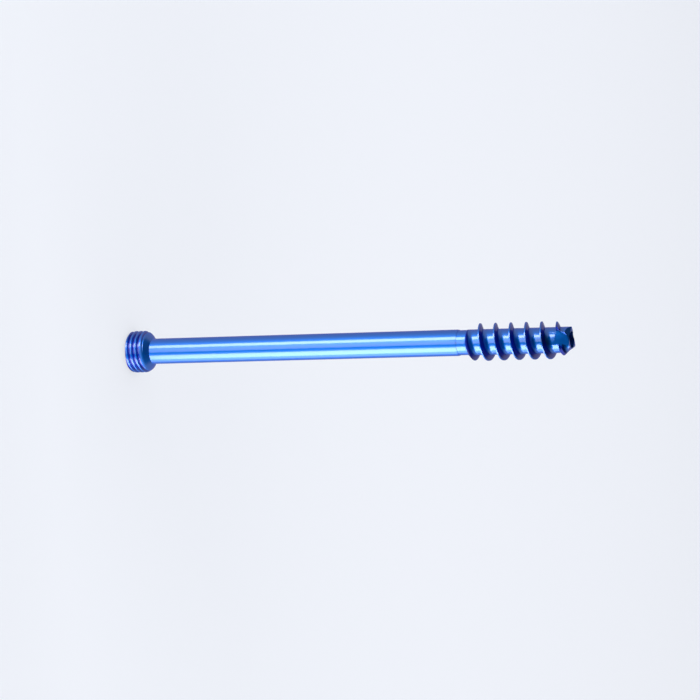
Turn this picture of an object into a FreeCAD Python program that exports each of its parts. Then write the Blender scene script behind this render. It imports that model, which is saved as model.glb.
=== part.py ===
import FreeCAD, Part
import math
import os
import Sketcher

# Headless compression screw, one piece of turned titanium, standing on the flat end face of its head.
# The body is drawn along X, from the head's end face at X = 0 to the cutting tip, and then stood up along Z.
# All sizes are millimetres and all angles degrees.

doc = FreeCAD.newDocument("screw")
sheet = doc.addObject("Spreadsheet::Sheet", "Sizes")

SIZES = [
    ("overall_length", 82.25),
    ("stand_angle", 90),
    ("head_diameter", 7.5),
    ("head_length", 4.25),
    ("head_chamfer", 0.25),
    ("shoulder_angle", 52.5),
    ("shoulder_radius", 1.5),
    ("head_thread_starts", 2),
    ("head_thread_lead", 1.75),
    ("head_thread_first", 0.42),
    ("head_thread_depth", 0.42),
    ("head_thread_root", 0.16),
    ("head_thread_mouth", 0.68),
    ("shank_diameter", 4.57),
    ("neck_diameter", 4.33),
    ("neck_length", 1.55),
    ("neck_taper", 0.35),
    ("core_diameter", 4.45),
    ("thread_diameter", 6.5),
    ("thread_length", 18.45),
    ("thread_pitch", 2.75),
    ("thread_start_angle", 70),
    ("thread_crest", 0.18),
    ("thread_back_angle", 4),
    ("thread_front_angle", 24),
    ("thread_fillet", 0.5),
    ("fillet_height", 0.3),
    ("fillet_run", 0.42),
    ("tip_diameter", 4.5),
    ("tip_angle", 20),
    ("cannulation_diameter", 2.9),
    ("socket_width", 4.0),
    ("socket_depth", 3.2),
    ("socket_drill_angle", 60),
    ("tip_points", 3),
    ("facet_drop", 1.32),
    ("facet_angle", 49),
    ("flute_length", 2.4),
    ("flute_floor", 1.66),
    ("flute_roll", 12.5),
    ("flute_incline", 10),
    ("flute_draft", 35),
    ("flute_back_height", 1.5),
    ("flute_front_height", 0.21),
    # How far a ridge is sunk into its core, and how far a cut reaches past the metal that it removes.
    ("ridge_sink", 0.12),
    ("edge_overlap", 0.05),
    ("mouth_overlap", 0.2),
    ("socket_overlap", 0.3),
    ("crest_clearance", 0.6),
    ("sweep_overrun", 1.2),
    ("blank_overrun", 1.5),
]
for row, (alias, number) in enumerate(SIZES, start=1):
    sheet.set("A%d" % row, alias)
    sheet.set("B%d" % row, str(number))
    sheet.setAlias("B%d" % row, alias)
doc.recompute()

# The screw stands on its head with one flute turned to -Y.
body = doc.addObject("PartDesign::Body", "screw")
body.Label = "screw"
stood_up = FreeCAD.Rotation(FreeCAD.Vector(0, -1, 0), sheet.stand_angle)
body.Placement = FreeCAD.Placement(FreeCAD.Vector(), stood_up)
body.setExpression("Placement.Rotation.Angle", "Sizes.stand_angle * 1 deg")


def datum(role):
    """Plane or axis of the body's own origin."""
    for item in body.Origin.OriginFeatures:
        if item.Role == role:
            return item
    raise ValueError("no origin feature " + role)


def new_sketch(name, plane="XZ_Plane"):
    """Empty sketch on one of the origin planes; the XZ plane shows X to the right."""
    sketch = body.newObject("Sketcher::SketchObject", name)
    sketch.AttachmentSupport = (datum(plane), [""])
    sketch.MapMode = "FlatFace"
    doc.recompute()
    return sketch


def bind(sketch, constraint, expression):
    """Add one constraint and tie its value to an expression on the sheet."""
    index = sketch.addConstraint(constraint)
    sketch.setExpression("Constraints[%d]" % index, expression)


def arc_between(start, end, radius, side):
    """Minor arc of a circle that bulges to the left (side 1) or the right (side -1) of start to end."""
    chord = end - start
    left = FreeCAD.Vector(-chord.y, chord.x, 0).normalize()
    sagitta_foot = math.sqrt(radius ** 2 - chord.Length ** 2 / 4)
    centre = (start + end) / 2 - left * (side * sagitta_foot)
    first, last = (end, start) if side > 0 else (start, end)
    angle_from = math.atan2(first.y - centre.y, first.x - centre.x)
    angle_to = math.atan2(last.y - centre.y, last.x - centre.x)
    if angle_to < angle_from:
        angle_to = angle_to + 2 * math.pi
    circle = Part.Circle(centre, FreeCAD.Vector(0, 0, 1), radius)
    return Part.ArcOfCircle(circle, angle_from, angle_to)


def outline(sketch, corners):
    """Closed outline through corners of (x, y, arc), each x and y an expression on the sheet.

    arc is None for a straight run to the next corner, or (radius expression, side) for an arc.
    """
    points = []
    ends = []
    for x, y, arc in corners:
        points.append(FreeCAD.Vector(float(sketch.evalExpression(x)), float(sketch.evalExpression(y)), 0))
        # An arc runs anticlockwise in the sketch, so one that bulges to the left starts at its far end.
        ends.append((2, 1) if arc is not None and arc[1] > 0 else (1, 2))
    count = len(corners)
    for index, (x, y, arc) in enumerate(corners):
        start = points[index]
        end = points[(index + 1) % count]
        if arc is None:
            sketch.addGeometry(Part.LineSegment(start, end), False)
        else:
            radius = float(sketch.evalExpression(arc[0]))
            sketch.addGeometry(arc_between(start, end, radius, arc[1]), False)
    for index, (x, y, arc) in enumerate(corners):
        following = (index + 1) % count
        joint = ("Coincident", index, ends[index][1], following, ends[following][0])
        sketch.addConstraint(Sketcher.Constraint(*joint))
        for kind, expression, value in (("DistanceX", x, points[index].x), ("DistanceY", y, points[index].y)):
            place = Sketcher.Constraint(kind, -1, 1, index, ends[index][0], value)
            bind(sketch, place, expression)
        if arc is not None:
            radius = float(sketch.evalExpression(arc[0]))
            bind(sketch, Sketcher.Constraint("Radius", index, radius), arc[0])
    doc.recompute()


def turned(kind, name, sketch):
    """Full turn of a sketch about the screw's axis, added or cut away."""
    feature = body.newObject(kind, name)
    feature.Profile = sketch
    feature.ReferenceAxis = (sketch, ["H_Axis"])
    feature.Angle = 360
    feature.Refine = False
    doc.recompute()
    return feature


def swept(kind, name, sketch, pitch, height):
    """Right-hand helix of a sketch about the screw's axis, added or cut away."""
    feature = body.newObject(kind, name)
    feature.Profile = sketch
    feature.ReferenceAxis = (sketch, ["H_Axis"])
    feature.Mode = 0
    feature.Refine = False
    feature.setExpression("Pitch", pitch)
    feature.setExpression("Height", height)
    doc.recompute()
    return feature


def repeated(name, feature, count):
    """The feature set out evenly around the screw's axis."""
    pattern = body.newObject("PartDesign::PolarPattern", name)
    pattern.Originals = [feature]
    pattern.Axis = (datum("X_Axis"), [""])
    pattern.Angle = 360
    pattern.Refine = False
    pattern.setExpression("Occurrences", count)
    body.Tip = pattern
    doc.recompute()


# Turned blank: threaded head, domed shoulder, shank, neck taper and thread core, up to past the tip.
HEAD_R = "(Sizes.head_diameter / 2)"
SHANK_R = "(Sizes.shank_diameter / 2)"
CORE_R = "(Sizes.core_diameter / 2)"
NECK_R = "(Sizes.neck_diameter / 2)"
TIP_R = "(Sizes.tip_diameter / 2)"
CREST_R = "(Sizes.thread_diameter / 2)"
CLEAR_R = "(%s + Sizes.crest_clearance)" % CREST_R
SLOPE = "(Sizes.shoulder_angle * 1 deg)"
SHOULDER_TOP = "(Sizes.head_length - (%s - %s) / tan(%s))" % (HEAD_R, SHANK_R, SLOPE)
TANGENT = "(Sizes.shoulder_radius * tan(%s / 2))" % SLOPE
CONE_X = "%s + %s * cos(%s)" % (SHOULDER_TOP, TANGENT, SLOPE)
CONE_R = "%s - %s * sin(%s)" % (HEAD_R, TANGENT, SLOPE)
THREAD_START = "(Sizes.overall_length - Sizes.thread_length)"
NECK_START = "(%s - Sizes.neck_length)" % THREAD_START
PAST_TIP = "(Sizes.overall_length + Sizes.blank_overrun)"

blank_sketch = new_sketch("blank_outline")
outline(blank_sketch, [
    ("0", "0", None),
    ("0", HEAD_R + " - Sizes.head_chamfer", None),
    ("Sizes.head_chamfer", HEAD_R, None),
    ("%s - %s" % (SHOULDER_TOP, TANGENT), HEAD_R, ("Sizes.shoulder_radius", 1)),
    (CONE_X, CONE_R, None),
    ("Sizes.head_length", SHANK_R, None),
    (NECK_START + " - Sizes.neck_taper", SHANK_R, None),
    (NECK_START, CORE_R, None),
    (PAST_TIP, CORE_R, None),
    (PAST_TIP, "0", None),
])
turned("PartDesign::Revolution", "turned_blank", blank_sketch)

# Bone thread: one right-hand ridge, steep towards the head and sloping with a fillet towards the tip.
# The sweep starts a quarter turn before the thread's own zero angle, inside the relief neck.
CREST_X = "(%s - Sizes.thread_pitch * (Sizes.thread_start_angle + 90) / 360)" % THREAD_START
HALF_CREST = "(Sizes.thread_crest / 2)"
SUNK_R = "(%s - Sizes.ridge_sink)" % CORE_R
BACK_RUN = "((%s - %s) * tan(Sizes.thread_back_angle * 1 deg))" % (CREST_R, SUNK_R)
FOOT_R = "(%s + Sizes.fillet_height)" % CORE_R
FRONT_RUN = "((%s - %s) * tan(Sizes.thread_front_angle * 1 deg))" % (CREST_R, FOOT_R)
ridge_sketch = new_sketch("bone_thread_ridge", "XY_Plane")
outline(ridge_sketch, [
    ("%s - %s - %s" % (CREST_X, HALF_CREST, BACK_RUN), SUNK_R, None),
    ("%s - %s" % (CREST_X, HALF_CREST), CREST_R, None),
    ("%s + %s" % (CREST_X, HALF_CREST), CREST_R, None),
    ("%s + %s + %s" % (CREST_X, HALF_CREST, FRONT_RUN), FOOT_R, ("Sizes.thread_fillet", -1)),
    ("%s + %s + %s + Sizes.fillet_run" % (CREST_X, HALF_CREST, FRONT_RUN), SUNK_R, None),
])
THREAD_SWEEP = "Sizes.overall_length + Sizes.sweep_overrun - " + CREST_X
swept("PartDesign::AdditiveHelix", "bone_thread", ridge_sketch, "Sizes.thread_pitch", THREAD_SWEEP)

# Relief neck and 45 degree start of the bone thread.
start_sketch = new_sketch("thread_start_outline")
outline(start_sketch, [
    (NECK_START + " - Sizes.edge_overlap", NECK_R, None),
    (THREAD_START, NECK_R, None),
    ("%s + %s - %s" % (THREAD_START, CLEAR_R, NECK_R), CLEAR_R, None),
    (NECK_START + " - Sizes.edge_overlap", CLEAR_R, None),
])
turned("PartDesign::Groove", "thread_start", start_sketch)

# Tapered tip: a cone that cuts the last turns down, and the flat front.
tip_sketch = new_sketch("tip_outline")
outline(tip_sketch, [
    ("Sizes.overall_length", "0", None),
    ("Sizes.overall_length", TIP_R, None),
    ("Sizes.overall_length - (%s - %s) / tan(Sizes.tip_angle * 1 deg)" % (CLEAR_R, TIP_R), CLEAR_R, None),
    (PAST_TIP + " + Sizes.blank_overrun", CLEAR_R, None),
    (PAST_TIP + " + Sizes.blank_overrun", "0", None),
])
turned("PartDesign::Groove", "tip_taper", tip_sketch)

# Head thread: right-hand grooves that run in at the end face and out over the domed shoulder.
ROOT_R = "(%s - Sizes.head_thread_depth)" % HEAD_R
MOUTH_R = "(%s + Sizes.mouth_overlap)" % HEAD_R
GROOVE_X = "(Sizes.head_thread_first - Sizes.head_thread_lead)"
HALF_ROOT = "(Sizes.head_thread_root / 2)"
FLANK_RUN = "((Sizes.head_thread_mouth - Sizes.head_thread_root) / 2)"
FLARE = "(%s * (Sizes.head_thread_depth + Sizes.mouth_overlap) / Sizes.head_thread_depth)" % FLANK_RUN
groove_sketch = new_sketch("head_thread_groove")
outline(groove_sketch, [
    ("%s - %s" % (GROOVE_X, HALF_ROOT), ROOT_R, None),
    ("%s + %s" % (GROOVE_X, HALF_ROOT), ROOT_R, None),
    ("%s + %s + %s" % (GROOVE_X, HALF_ROOT, FLARE), MOUTH_R, None),
    ("%s - %s - %s" % (GROOVE_X, HALF_ROOT, FLARE), MOUTH_R, None),
])
HEAD_LEAD = "Sizes.head_thread_lead"
HEAD_SWEEP = "Sizes.head_length - " + GROOVE_X
groove = swept("PartDesign::SubtractiveHelix", "head_thread", groove_sketch, HEAD_LEAD, HEAD_SWEEP)
repeated("head_thread_starts", groove, "Sizes.head_thread_starts")

# Cannulation for the guide wire, right through the screw.
bore_sketch = new_sketch("cannulation_circle", "YZ_Plane")
bore_circle = Part.Circle(FreeCAD.Vector(), FreeCAD.Vector(0, 0, 1), sheet.cannulation_diameter / 2)
bore_sketch.addGeometry(bore_circle, False)
bore_sketch.addConstraint(Sketcher.Constraint("Coincident", 0, 3, -1, 1))
bore_width = Sketcher.Constraint("Diameter", 0, sheet.cannulation_diameter)
bind(bore_sketch, bore_width, "Sizes.cannulation_diameter")
bore = body.newObject("PartDesign::Pocket", "cannulation")
bore.Profile = bore_sketch
bore.Type = 1
bore.Midplane = True
bore.Refine = False
doc.recompute()

# Hexagon socket in the head face, with the drill point's cone at its floor.
FLAT = "(Sizes.socket_width / 2)"
HALF_SIDE = "(%s * tan(30 deg))" % FLAT
CORNER = "(%s / cos(30 deg))" % FLAT
hexagon_sketch = new_sketch("socket_hexagon", "YZ_Plane")
outline(hexagon_sketch, [
    (CORNER, "0", None),
    (HALF_SIDE, FLAT, None),
    ("-" + HALF_SIDE, FLAT, None),
    ("-" + CORNER, "0", None),
    ("-" + HALF_SIDE, "-" + FLAT, None),
    (HALF_SIDE, "-" + FLAT, None),
])
socket = body.newObject("PartDesign::Pocket", "driver_socket")
socket.Profile = hexagon_sketch
socket.Reversed = True
socket.Refine = False
socket.setExpression("Length", "Sizes.socket_depth")
doc.recompute()

cone_sketch = new_sketch("socket_floor_outline")
outline(cone_sketch, [
    ("Sizes.socket_depth - Sizes.socket_overlap", "0", None),
    ("Sizes.socket_depth - Sizes.socket_overlap", FLAT, None),
    ("Sizes.socket_depth", FLAT, None),
    ("Sizes.socket_depth + %s / tan(Sizes.socket_drill_angle * 1 deg)" % FLAT, "0", None),
])
turned("PartDesign::Groove", "socket_floor", cone_sketch)

# Cutting tip: sloping facets leave a narrow blunt point between each two of them.
FACET_DROP = "Sizes.facet_drop"
FACET_SLOPE = "tan(Sizes.facet_angle * 1 deg)"
REACH = CLEAR_R
facet_sketch = new_sketch("tip_facet_outline")
outline(facet_sketch, [
    ("Sizes.overall_length", "-" + FACET_DROP, None),
    ("Sizes.overall_length - (%s - %s) / %s" % (REACH, FACET_DROP, FACET_SLOPE), "-" + REACH, None),
    (PAST_TIP, "-" + REACH, None),
    (PAST_TIP, "-%s + Sizes.blank_overrun * %s" % (FACET_DROP, FACET_SLOPE), None),
])
facet = body.newObject("PartDesign::Pocket", "tip_facet")
facet.Profile = facet_sketch
facet.Type = 1
facet.Midplane = True
facet.Refine = False
doc.recompute()
repeated("tip_facets", facet, "Sizes.tip_points")

# Cutting flutes: each has a flat floor just outside the cannulation, rolled so that it is deepest at the
# leaning wall that carries the cutting edge, and inclined so that it is deepest at the front.
# The sketch's origin lies on that floor at the front of the screw.
ROLL = "(Sizes.flute_roll * 1 deg)"
FLOOR_UP = "Sizes.flute_floor * sin(%s)" % ROLL
FLOOR_OUT = "Sizes.flute_floor * cos(%s)" % ROLL
FLOOR_POINT = "vector(Sizes.overall_length; %s; %s)" % (FLOOR_UP, FLOOR_OUT)
FLOOR_TURN = "rotationx(-%s) * rotationy(Sizes.flute_incline * 1 deg)" % ROLL
EDGE_SLOPE = "((Sizes.flute_back_height - Sizes.flute_front_height) / Sizes.flute_length)"
flute_sketch = new_sketch("cutting_flute_outline")
flute_sketch.setExpression("AttachmentOffset", "placement(%s; %s)" % (FLOOR_POINT, FLOOR_TURN))
doc.recompute()
outline(flute_sketch, [
    ("-Sizes.flute_length", "Sizes.flute_back_height", None),
    ("Sizes.blank_overrun", "Sizes.flute_front_height - Sizes.blank_overrun * " + EDGE_SLOPE, None),
    ("Sizes.blank_overrun", "-" + REACH, None),
    ("-Sizes.flute_length", "-" + REACH, None),
])
flute = body.newObject("PartDesign::Pocket", "cutting_flute")
flute.Profile = flute_sketch
flute.Reversed = True
flute.Refine = False
flute.setExpression("Length", REACH)
flute.setExpression("TaperAngle", "Sizes.flute_draft * 1 deg")
doc.recompute()
repeated("cutting_flutes", flute, "Sizes.tip_points")

for item in doc.Objects:
    if "Invalid" in item.State or "Error" in item.State:
        raise RuntimeError("failed feature: " + item.Label)
if body.Shape.isNull() or not body.Shape.isValid():
    raise RuntimeError("the screw has no valid shape")

os.makedirs("parts", exist_ok=True)
body.Shape.exportStep("parts/screw.step")
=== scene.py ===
import math

import bpy
from mathutils import Matrix, Vector


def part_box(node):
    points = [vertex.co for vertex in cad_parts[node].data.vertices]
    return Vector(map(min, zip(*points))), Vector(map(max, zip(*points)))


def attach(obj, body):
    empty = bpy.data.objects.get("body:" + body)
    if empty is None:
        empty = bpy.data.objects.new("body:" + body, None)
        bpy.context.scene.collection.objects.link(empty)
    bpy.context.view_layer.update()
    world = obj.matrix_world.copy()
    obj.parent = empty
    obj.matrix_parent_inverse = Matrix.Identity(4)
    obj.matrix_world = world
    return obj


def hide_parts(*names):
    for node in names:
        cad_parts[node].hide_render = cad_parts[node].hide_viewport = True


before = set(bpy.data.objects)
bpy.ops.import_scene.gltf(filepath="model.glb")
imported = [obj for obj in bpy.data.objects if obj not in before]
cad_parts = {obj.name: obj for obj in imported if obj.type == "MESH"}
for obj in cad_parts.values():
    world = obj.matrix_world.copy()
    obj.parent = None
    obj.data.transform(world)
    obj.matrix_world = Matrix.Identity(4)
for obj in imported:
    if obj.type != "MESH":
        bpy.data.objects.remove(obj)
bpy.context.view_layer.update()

# Headless compression screw, turned from one bar and anodised blue, standing on the end face of its head.
# Lengths are written in millimetres and turned to metres by MM.
MM = 0.001

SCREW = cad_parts["screw"]
FLOOR_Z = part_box("screw")[0][2]


def linear(code):
    """Linear colour of an sRGB hex code."""
    channels = []
    for place in (0, 2, 4):
        value = int(code[place:place + 2], 16) / 255
        channels.append(value / 12.92 if value <= 0.04045 else ((value + 0.055) / 1.055) ** 2.4)
    return (*channels, 1.0)


def add(tree, kind, settings=None, inputs=None, links=()):
    """Add one node with its settings and input values; links are (input, output socket) pairs."""
    node = tree.nodes.new(kind)
    for name, value in (settings or {}).items():
        setattr(node, name, value)
    for name, value in (inputs or {}).items():
        node.inputs[name].default_value = value
    for name, socket in links:
        tree.links.new(socket, node.inputs[name])
    return node


def new_material(name):
    """Empty node material and its tree."""
    material = bpy.data.materials.new(name)
    material.use_nodes = True
    material.node_tree.nodes.clear()
    return material, material.node_tree


# Finishes

# Titanium anodised blue: the satin metal under the oxide gives a deep, even, saturated blue, and the glossy
# clear oxide film over it gives the near-white streaks of the studio lights.
TITANIUM_BLUE = "0472DA"
TITANIUM_SLANT = "0A6CF0"
SATIN_FROM = 0.46
SATIN_TO = 0.54
OXIDE_IOR = 2.2
OXIDE_GLOSS = 0.62
OXIDE_ROUGHNESS = 0.16
# Painted shade: the grooves of the head's thread are coloured a deeper blue, between these two radii, up to
# the shoulder.
GROOVE_SHADE_BLUE = "0330AC"
GROOVE_ROOT = 3.42
GROOVE_MOUTH = 3.7
GROOVES_END = 3.1
# The same painted shade covers the flanks of the bone thread, between its foot and its crest.
FLANK_FOOT = 2.26
FLANK_FULL = 2.42
FLANK_CREST = 3.05
# Feed marks of the turning tool, really 0.05 mm apart and drawn coarser so that they show.
FEED_MARK = 0.22 * MM
FEED_MARK_DEPTH = 0.004 * MM
FEED_MARK_STRENGTH = 0.12
# Width of the faint cloudy change in gloss that anodising leaves.
BATH_CLOUD = 3.0 * MM

# Bone thread, as the CAD solid has it: where its crest lies at +Y, and how far the solid's own flank reaches.
THREAD_PITCH = 2.75
CREST_AT_Y = 62.578
FLANK_END = 0.45
# The ground surface sweeps on from the flank's foot in a long shallow hollow, steepest at the foot.
HOLLOW_END = 1.5
HOLLOW_SLOPE = math.radians(50)
THREAD_FROM = 63.9
CORE_RADIUS = 2.2
# The pattern's seam, a little behind the crest on the steep flank.
SEAM = 0.13


def calculate(tree, operation, *values):
    """Result of one calculation on sockets and numbers."""
    node = tree.nodes.new("ShaderNodeMath")
    node.operation = operation
    for place, value in enumerate(values):
        if isinstance(value, (int, float)):
            node.inputs[place].default_value = value
        else:
            tree.links.new(value, node.inputs[place])
    return node.outputs[0]


def places(tree, place):
    """The point's x, turned to count towards -X, its y and z, and its radius, all in millimetres."""
    axes = add(tree, "ShaderNodeSeparateXYZ", links=[("Vector", place)])
    x = calculate(tree, "DIVIDE", axes.outputs["X"], -MM)
    y = calculate(tree, "DIVIDE", axes.outputs["Y"], MM)
    z = calculate(tree, "DIVIDE", axes.outputs["Z"], MM)
    x_squared = calculate(tree, "MULTIPLY", x, x)
    y_squared = calculate(tree, "MULTIPLY", y, y)
    radius = calculate(tree, "SQRT", calculate(tree, "ADD", x_squared, y_squared))
    return x, y, z, radius


def mixed_colour(node):
    """Colour output of a Mix node."""
    return [socket for socket in node.outputs if socket.type == "RGBA"][0]


def groove_and_flank_shade(tree, z, radius):
    """Share of painted shade: 1 at the root of the head's thread and on the flanks of the bone thread, 0
    elsewhere.
    """
    depth = add(tree, "ShaderNodeMapRange", inputs={
        "From Min": GROOVE_ROOT, "From Max": GROOVE_MOUTH, "To Min": 1.0, "To Max": 0.0},
        links=[("Value", radius)])
    on_head = calculate(tree, "LESS_THAN", z, GROOVES_END)
    grooves = calculate(tree, "MULTIPLY", depth.outputs["Result"], on_head)
    rise = add(tree, "ShaderNodeMapRange", inputs={"From Min": FLANK_FOOT, "From Max": FLANK_FULL},
               links=[("Value", radius)])
    below_crest = calculate(tree, "LESS_THAN", radius, FLANK_CREST)
    on_flank = calculate(tree, "MULTIPLY", rise.outputs["Result"], below_crest)
    on_thread = calculate(tree, "GREATER_THAN", z, THREAD_FROM)
    flanks = calculate(tree, "MULTIPLY", on_flank, on_thread)
    return calculate(tree, "ADD", grooves, flanks)


def thread_hollow(tree, x, y, z, radius):
    """Height in millimetres of the hollow beside the bone thread, which follows the thread's helix."""
    turns = calculate(tree, "DIVIDE", calculate(tree, "ARCTAN2", x, y), 2 * math.pi)
    from_seam = calculate(tree, "SUBTRACT", z, CREST_AT_Y - SEAM)
    crests = calculate(tree, "SUBTRACT", calculate(tree, "DIVIDE", from_seam, THREAD_PITCH), turns)
    past_seam = calculate(tree, "MULTIPLY", calculate(tree, "FRACT", crests), THREAD_PITCH)
    past_crest = calculate(tree, "SUBTRACT", past_seam, SEAM)
    to_end = calculate(tree, "SUBTRACT", HOLLOW_END, past_crest)
    inside = calculate(tree, "MINIMUM", calculate(tree, "MAXIMUM", to_end, 0), HOLLOW_END - FLANK_END)
    parabola = calculate(tree, "MULTIPLY", inside, inside)
    depth = calculate(tree, "MULTIPLY", parabola, math.tan(HOLLOW_SLOPE) / (2 * (HOLLOW_END - FLANK_END)))
    past_start = calculate(tree, "GREATER_THAN", z, THREAD_FROM)
    outside_bore = calculate(tree, "GREATER_THAN", radius, CORE_RADIUS)
    on_thread = calculate(tree, "MULTIPLY", past_start, outside_bore)
    return calculate(tree, "MULTIPLY", depth, on_thread)


def anodised_titanium():
    """Turned, polished and anodised titanium, with painted shade in the head's grooves and on the bone
    thread's flanks.
    """
    material, tree = new_material("anodised_titanium_turned")
    place = add(tree, "ShaderNodeTexCoord")
    rings = add(tree, "ShaderNodeMapping", inputs={"Scale": (1, 1, 1 / FEED_MARK)},
                links=[("Vector", place.outputs["Object"])])
    marks = add(tree, "ShaderNodeTexNoise", inputs={"Scale": 1.0, "Detail": 2.0},
                links=[("Vector", rings.outputs["Vector"])])
    cloud = add(tree, "ShaderNodeTexNoise", inputs={"Scale": 1 / BATH_CLOUD, "Detail": 3.0},
                links=[("Vector", place.outputs["Object"])])
    satin = add(tree, "ShaderNodeMapRange", inputs={"To Min": SATIN_FROM, "To Max": SATIN_TO},
                links=[("Value", cloud.outputs["Fac"])])
    x, y, z, radius = places(tree, place.outputs["Object"])
    painted_shade = groove_and_flank_shade(tree, z, radius)
    # The base colour turns deeper blue where the painted shade lies.
    colour = add(tree, "ShaderNodeMix", {"data_type": "RGBA"}, links=[("Factor", painted_shade)])
    ends = [socket for socket in colour.inputs if socket.type == "RGBA"]
    ends[0].default_value = linear(TITANIUM_BLUE)
    ends[1].default_value = linear(GROOVE_SHADE_BLUE)
    hollow = add(tree, "ShaderNodeBump", inputs={"Distance": MM},
                 links=[("Height", thread_hollow(tree, x, y, z, radius))])
    relief = add(tree, "ShaderNodeBump", inputs={"Strength": FEED_MARK_STRENGTH, "Distance": FEED_MARK_DEPTH},
                 links=[("Height", marks.outputs["Fac"]), ("Normal", hollow.outputs["Normal"])])
    shader = add(tree, "ShaderNodeBsdfPrincipled", inputs={
        "Metallic": 1.0, "Specular Tint": linear(TITANIUM_SLANT),
        "Coat Weight": OXIDE_GLOSS, "Coat Roughness": OXIDE_ROUGHNESS, "Coat IOR": OXIDE_IOR,
    }, links=[("Roughness", satin.outputs["Result"]), ("Normal", relief.outputs["Normal"]),
              ("Coat Normal", relief.outputs["Normal"])])
    tree.links.new(mixed_colour(colour), shader.inputs["Base Color"])
    add(tree, "ShaderNodeOutputMaterial", links=[("Surface", shader.outputs["BSDF"])])
    return material


def matt_surface(name, colour):
    """Matt paper or cloth of one colour."""
    material, tree = new_material(name)
    shader = add(tree, "ShaderNodeBsdfPrincipled", inputs={
        "Base Color": linear(colour), "Roughness": 1.0, "Specular IOR Level": 0.0})
    add(tree, "ShaderNodeOutputMaterial", links=[("Surface", shader.outputs["BSDF"])])
    return material


# Screw

# Corners sharper than this stay crisp edges; everything flatter is one smooth turned surface.
SHARP_EDGE = math.radians(28)
SAME_POINT = 0.0005 * MM


def surface_tree(finish):
    """Node tree that joins the facets of a turned piece and shades its round surfaces smooth."""
    tree = bpy.data.node_groups.new("turned_surface", "GeometryNodeTree")
    sockets = tree.interface
    sockets.new_socket("Geometry", in_out="INPUT", socket_type="NodeSocketGeometry")
    sockets.new_socket("Same Point", in_out="INPUT", socket_type="NodeSocketFloat")
    sockets.new_socket("Sharp Edge", in_out="INPUT", socket_type="NodeSocketFloat")
    sockets.new_socket("Geometry", in_out="OUTPUT", socket_type="NodeSocketGeometry")
    source = add(tree, "NodeGroupInput")
    joined = add(tree, "GeometryNodeMergeByDistance", links=[
        ("Geometry", source.outputs["Geometry"]), ("Distance", source.outputs["Same Point"])])
    round_faces = add(tree, "GeometryNodeSetShadeSmooth", {"domain": "FACE"}, {"Shade Smooth": True},
                      [("Geometry", joined.outputs["Geometry"])])
    angle = add(tree, "GeometryNodeInputMeshEdgeAngle")
    flat_enough = add(tree, "FunctionNodeCompare", {"data_type": "FLOAT", "operation": "LESS_THAN"}, links=[
        ("A", angle.outputs["Unsigned Angle"]), ("B", source.outputs["Sharp Edge"])])
    crisp = add(tree, "GeometryNodeSetShadeSmooth", {"domain": "EDGE"}, links=[
        ("Geometry", round_faces.outputs["Geometry"]), ("Shade Smooth", flat_enough.outputs["Result"])])
    real = add(tree, "GeometryNodeRealizeInstances", links=[("Geometry", crisp.outputs["Geometry"])])
    painted = add(tree, "GeometryNodeSetMaterial", inputs={"Material": finish},
                  links=[("Geometry", real.outputs["Geometry"])])
    add(tree, "NodeGroupOutput", links=[("Geometry", painted.outputs["Geometry"])])
    return tree


def socket_id(tree, name):
    """Identifier of a tree's named input."""
    for item in tree.interface.items_tree:
        if item.in_out == "INPUT" and item.name == name:
            return item.identifier
    raise ValueError("no input " + name)


def turned_screw(finish):
    """The screw with its facets joined into smooth turned surfaces and crisp edges."""
    tree = surface_tree(finish)
    draft = bpy.data.objects.new("screw_draft", SCREW.data.copy())
    bpy.context.scene.collection.objects.link(draft)
    modifier = draft.modifiers.new("turned_surface", "NODES")
    modifier.node_group = tree
    modifier[socket_id(tree, "Same Point")] = SAME_POINT
    modifier[socket_id(tree, "Sharp Edge")] = SHARP_EDGE
    evaluated = draft.evaluated_get(bpy.context.evaluated_depsgraph_get())
    mesh = bpy.data.meshes.new_from_object(evaluated)
    bpy.data.objects.remove(draft)
    mesh.name = "turned_screw"
    screw = bpy.data.objects.new("turned_screw", mesh)
    bpy.context.scene.collection.objects.link(screw)
    return screw


screw = turned_screw(anodised_titanium())
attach(screw, "root")
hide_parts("screw")
# The paper keeps the screw's shadow but takes no blue light from it.
screw.visible_diffuse = False

# Studio
# Angles around the screw are in degrees, measured from -Y, the photographed side, towards -X, which is up in
# the picture. A level is a brightness, 1 being white.

FLOOR_WHITE = "F1F4FB"
FLOOR_HALF = 3000 * MM
# The surroundings go from white to nearly black between these two heights above the level.
WORLD_WHITE = "F8F9FC"
WORLD_LEVEL = 0.54
OVERHEAD_LEVEL = 0.04
DARK_FROM = math.radians(36)
DARK_ABOVE = math.radians(52)
# Upright soft boxes: name, first and last angle around the screw, and level.
SOFT_BOXES = (
    ("upper_soft_box", 27, 51, 6.0),
    ("lower_soft_box", -81, -39, 5.6),
    ("lower_fill", -112, -82, 1.6),
    ("front_fill", -11, 22, 1.4),
)
SOFT_BOX_DISTANCE = 300 * MM
SOFT_BOX_BOTTOM = -150 * MM
SOFT_BOX_TOP = 110 * MM
# Large light over the paper.
PAPER_LIGHT_SIZE = 2000 * MM
PAPER_LIGHT_HEIGHT = 1000 * MM
PAPER_LIGHT_LEVEL = 1.32
# Standing cloths: name, first and last angle around the screw, distance, bottom and top.
CLOTH_BLACK = "050505"
CLOTHS = (
    # A narrow dark line between the fill and the lower band.
    ("cloth_strip", -25, -12, 280 * MM, -150 * MM, 110 * MM),
    # Close in front of the tip: what the flutes mirror.
    ("cloth_in_front", -64, 48, 60 * MM, 69 * MM, 170 * MM),
)


def outward(angle):
    """Level direction at an angle around the screw."""
    return Vector((-math.sin(math.radians(angle)), -math.cos(math.radians(angle)), 0))


def card(name, corners, material):
    """Flat four-cornered sheet of the studio."""
    mesh = bpy.data.meshes.new(name)
    mesh.from_pydata([Vector(corner) for corner in corners], [], [(0, 1, 2, 3)])
    mesh.materials.append(material)
    sheet = bpy.data.objects.new(name, mesh)
    bpy.context.scene.collection.objects.link(sheet)
    return sheet


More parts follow.
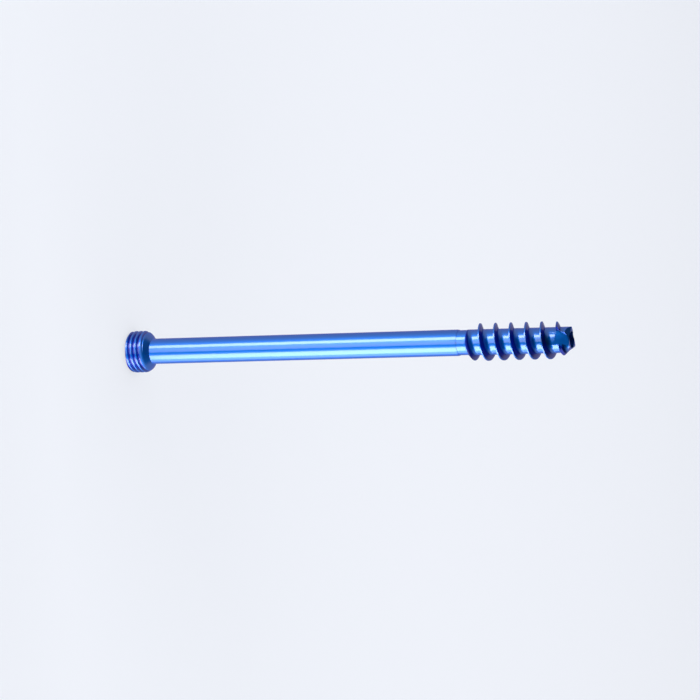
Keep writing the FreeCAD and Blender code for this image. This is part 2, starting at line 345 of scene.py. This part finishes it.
def cloth_around(name, first, last, distance, bottom, top, material):
    """Standing cloth between two angles around the screw, which the polished metal mirrors."""
    start = outward(first) * distance
    end = outward(last) * distance
    low = Vector((0, 0, bottom))
    high = Vector((0, 0, top))
    sheet = card(name, [start + low, end + low, end + high, start + high], material)
    sheet.visible_camera = False
    sheet.visible_diffuse = False


def panel_light(name, width, height, level):
    """Flat light that the camera doesn't see."""
    light = bpy.data.lights.new(name, "AREA")
    light.shape = "RECTANGLE"
    light.size = width
    light.size_y = height
    light.energy = level * math.pi * width * height
    lamp = bpy.data.objects.new(name, light)
    bpy.context.scene.collection.objects.link(lamp)
    lamp.visible_camera = False
    return lamp


def soft_box(name, first, last, level):
    """Upright soft box between two angles around the screw."""
    out = outward((first + last) / 2)
    width = 2 * SOFT_BOX_DISTANCE * math.tan(math.radians(abs(last - first) / 2))
    lamp = panel_light(name, width, SOFT_BOX_TOP - SOFT_BOX_BOTTOM, level)
    up = Vector((0, 0, 1))
    turn = Matrix((up.cross(out), up, out)).transposed().to_4x4()
    middle = out * SOFT_BOX_DISTANCE + up * (SOFT_BOX_BOTTOM + SOFT_BOX_TOP) / 2
    lamp.matrix_world = Matrix.Translation(middle) @ turn
    # The paper is lit from overhead alone, so it stays even.
    lamp.visible_diffuse = False


def paper_floor():
    """White paper that the screw stands on."""
    half = FLOOR_HALF
    floor = card("floor", [
        (-half, -half, FLOOR_Z), (half, -half, FLOOR_Z), (half, half, FLOOR_Z), (-half, half, FLOOR_Z)],
        matt_surface("matt_white_paper", FLOOR_WHITE))
    # The metal mirrors the lights as if it were held up in the middle of them.
    floor.visible_glossy = False
    floor.visible_shadow = False


def white_surroundings():
    """White all around and dark overhead, which the flanks facing the tip and the shoulder mirror."""
    world = bpy.data.worlds.new("white_surroundings")
    world.use_nodes = True
    tree = world.node_tree
    tree.nodes.clear()
    direction = add(tree, "ShaderNodeTexCoord")
    height = add(tree, "ShaderNodeSeparateXYZ", links=[("Vector", direction.outputs["Generated"])])
    around = add(tree, "ShaderNodeMapRange", {"interpolation_type": "SMOOTHSTEP"}, {
        "From Min": math.sin(DARK_FROM), "From Max": math.sin(DARK_ABOVE),
        "To Min": WORLD_LEVEL, "To Max": OVERHEAD_LEVEL}, [("Value", height.outputs["Z"])])
    path = add(tree, "ShaderNodeLightPath")
    level = add(tree, "ShaderNodeMapRange", inputs={"To Max": 1.0}, links=[
        ("Value", path.outputs["Is Camera Ray"]), ("To Min", around.outputs["Result"])])
    glow = add(tree, "ShaderNodeBackground", inputs={"Color": linear(WORLD_WHITE)},
               links=[("Strength", level.outputs["Result"])])
    add(tree, "ShaderNodeOutputWorld", links=[("Surface", glow.outputs["Background"])])
    bpy.context.scene.world = world


def paper_light():
    """Large light over the paper, which the metal doesn't mirror."""
    lamp = panel_light("paper_light", PAPER_LIGHT_SIZE, PAPER_LIGHT_SIZE, PAPER_LIGHT_LEVEL)
    lamp.matrix_world = Matrix.Translation((0, 0, PAPER_LIGHT_HEIGHT))
    lamp.visible_glossy = False


paper_floor()
white_surroundings()
for name, first, last, level in SOFT_BOXES:
    soft_box(name, first, last, level)
paper_light()
cloth = matt_surface("black_studio_cloth", CLOTH_BLACK)
for name, first, last, distance, bottom, top in CLOTHS:
    cloth_around(name, first, last, distance, bottom, top, cloth)

# Camera

# The photograph looks at the screw from 20.7 degrees above the level, turned so that the tip points right.
FRAME_PX = 700
FOCAL_PX = 2600
# Pixels that one metre takes at the screw's axis.
SCALE_PX = 5709
TIP_TURN = math.radians(20.7)
PICTURE_ROLL = math.radians(1.575)
CENTRE_Z = 41.97 * MM
AXIS_ABOVE_CENTRE_PX = 4.2
# Width of the camera's sensor in its own millimetres.
SENSOR_WIDTH = 36
NEAREST = 10 * MM
FARTHEST = 20000 * MM


def photograph_camera():
    """Camera at the photograph's viewing angle and distance."""
    back = Vector((0, -math.cos(TIP_TURN), math.sin(TIP_TURN)))
    along = Vector((0, math.sin(TIP_TURN), math.cos(TIP_TURN)))
    across = Vector((-1, 0, 0))
    right = along * math.cos(PICTURE_ROLL) - across * math.sin(PICTURE_ROLL)
    up = across * math.cos(PICTURE_ROLL) + along * math.sin(PICTURE_ROLL)
    place = Vector((0, 0, CENTRE_Z)) + back * (FOCAL_PX / SCALE_PX) - up * (AXIS_ABOVE_CENTRE_PX / SCALE_PX)
    data = bpy.data.cameras.new("camera")
    data.sensor_width = SENSOR_WIDTH
    data.lens = SENSOR_WIDTH * FOCAL_PX / FRAME_PX
    data.clip_start = NEAREST
    data.clip_end = FARTHEST
    camera = bpy.data.objects.new("camera", data)
    turn = Matrix((right, up, back)).transposed().to_4x4()
    camera.matrix_world = Matrix.Translation(place) @ turn
    bpy.context.scene.collection.objects.link(camera)
    bpy.context.scene.camera = camera


photograph_camera()
bpy.context.scene.view_settings.view_transform = "Standard"
